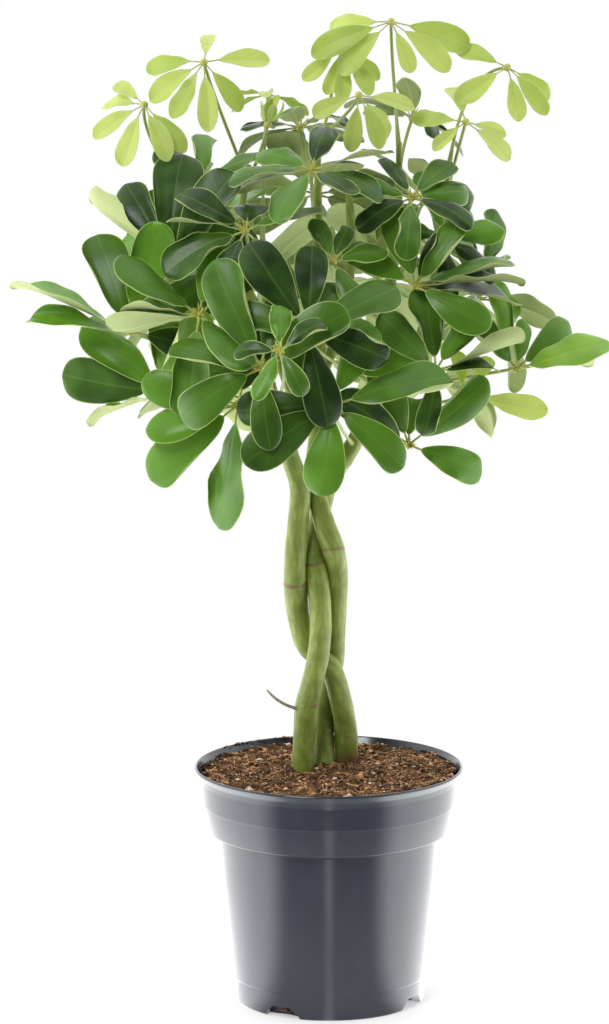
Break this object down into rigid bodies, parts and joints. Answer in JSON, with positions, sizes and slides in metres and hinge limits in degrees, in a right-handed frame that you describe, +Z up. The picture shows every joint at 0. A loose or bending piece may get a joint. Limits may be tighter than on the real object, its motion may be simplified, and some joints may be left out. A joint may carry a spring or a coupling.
{
  "type": "potted umbrella plant",
  "caption": "Potted umbrella plant with braided trunks and whorls of oval leaflets on long stalks, in a round tapered plastic pot of peat.",
  "frame": {"origin": "centre of the pot's flat underside, on the surface that the pot stands on", "axes": "+Z up along the pot's axis, the plant's pictured front faces -Y, and +X is to the right of that view"},
  "size_m": [0.3688, 0.289, 0.6237],
  "materials": {
    "pot_plastic": "moulded plastic, satin to gloss, dark blue-grey",
    "peat": "loose damp peat with fibres and white grains",
    "trunk_bark": "smooth green bark with brown ring scars",
    "leaf_mature": "waxy leaf, glossy above and matt pale green below",
    "leaf_young": "thin soft young leaf, light yellow-green"
  },
  "bodies": {
    "root": {"pot": "pot_plastic", "soil": "peat", "trunk_left": "trunk_bark", "trunk_front": "trunk_bark", "trunk_centre": "trunk_bark", "frond_low_front": "leaf_mature", "frond_front_mid": "leaf_mature", "frond_small_rosette": "leaf_mature", "frond_front_left": "leaf_mature", "frond_low_left": "leaf_mature", "frond_left_low": "leaf_mature", "frond_left_mid": "leaf_mature", "frond_left_front": "leaf_mature", "frond_left_high": "leaf_mature", "frond_right_mid": "leaf_mature", "frond_right_front": "leaf_mature", "frond_far_right": "leaf_mature", "frond_low_right": "leaf_mature", "frond_high_front": "leaf_mature", "frond_high_right": "leaf_mature", "frond_high_left": "leaf_mature", "frond_curled_small": "leaf_mature", "frond_right_upper": "leaf_mature", "frond_left_upper": "leaf_mature", "frond_left_side": "leaf_mature", "frond_right_side": "leaf_mature", "frond_back_low_left": "leaf_mature", "frond_back_low_mid": "leaf_mature", "frond_back_low_right": "leaf_mature", "frond_back_left": "leaf_mature", "frond_back_mid_left": "leaf_mature", "frond_back_mid_right": "leaf_mature", "frond_back_right": "leaf_mature", "frond_back_high_left": "leaf_mature", "frond_back_high_mid": "leaf_mature", "frond_back_high_right": "leaf_mature", "frond_top_back": "leaf_mature", "frond_top_right_back": "leaf_mature", "frond_young_top_left": "leaf_young", "frond_young_left": "leaf_young", "frond_young_top": "leaf_mature", "frond_young_top_mid": "leaf_young", "frond_young_pink": "leaf_young", "frond_young_right": "leaf_young", "frond_young_far_right": "leaf_young", "frond_young_back": "leaf_young", "frond_lime_right": "leaf_mature", "frond_unfolding_tip": "leaf_young"}
  },
  "joints": []
}
